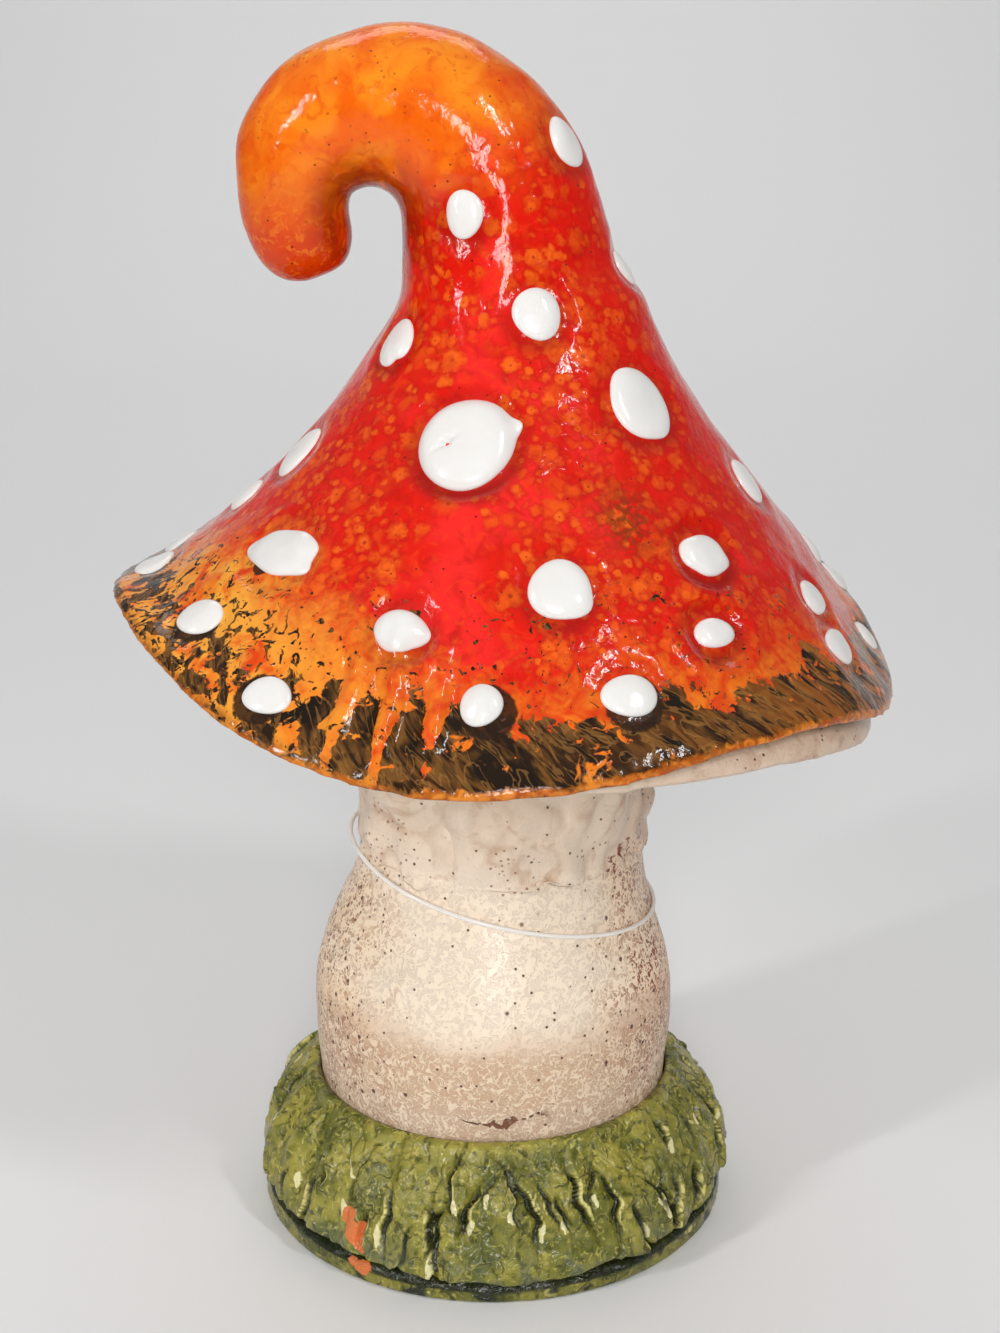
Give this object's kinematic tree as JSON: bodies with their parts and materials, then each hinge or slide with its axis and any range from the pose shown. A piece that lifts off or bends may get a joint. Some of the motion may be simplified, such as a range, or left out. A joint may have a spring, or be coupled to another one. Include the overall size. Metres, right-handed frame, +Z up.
{
  "type": "ceramic mushroom ornament",
  "caption": "Hand-built ceramic mushroom ornament: hollow red cone hat with curled tip, wavy brim and raised white dots, cream stem and mossy green foot; stands free as decoration.",
  "frame": {"origin": "middle of the flat foot, on the axis of the stem", "axes": "+Z up along the stem, the front seen in the picture faces -Y, the tip of the hat curls over towards -X"},
  "size_m": [0.195, 0.195, 0.2997],
  "materials": {
    "cap_glaze": "glossy mottled red and orange glaze, dark brown on the brim",
    "dot_glaze": "glossy opaque white glaze",
    "cream_glaze": "satin cream glaze with brown pinholes",
    "moss_glaze": "glossy olive green glaze over crinkled clay",
    "cord_nylon": "clear nylon monofilament"
  },
  "bodies": {
    "root": {"base_disc": "moss_glaze", "moss_mound": "moss_glaze", "stem": "cream_glaze", "neck_collar": "cream_glaze", "cap_underside": "cream_glaze", "cap_shell": "cap_glaze", "neck_cord": "cord_nylon", "dot_01": "dot_glaze", "dot_02": "dot_glaze", "dot_03": "dot_glaze", "dot_04": "dot_glaze", "dot_05": "dot_glaze", "dot_06": "dot_glaze", "dot_07": "dot_glaze", "dot_08": "dot_glaze", "dot_09": "dot_glaze", "dot_10": "dot_glaze", "dot_11": "dot_glaze", "dot_12": "dot_glaze", "dot_13": "dot_glaze", "dot_14": "dot_glaze", "dot_15": "dot_glaze", "dot_16": "dot_glaze", "dot_17": "dot_glaze", "dot_18": "dot_glaze", "dot_19": "dot_glaze", "dot_20": "dot_glaze", "dot_21": "dot_glaze", "dot_22": "dot_glaze", "dot_23": "dot_glaze", "dot_24": "dot_glaze", "dot_25": "dot_glaze", "dot_26": "dot_glaze", "dot_27": "dot_glaze", "dot_28": "dot_glaze", "dot_29": "dot_glaze", "dot_30": "dot_glaze", "dot_31": "dot_glaze", "dot_32": "dot_glaze", "dot_33": "dot_glaze", "dot_34": "dot_glaze", "dot_35": "dot_glaze", "dot_36": "dot_glaze", "dot_37": "dot_glaze"}
  },
  "joints": []
}
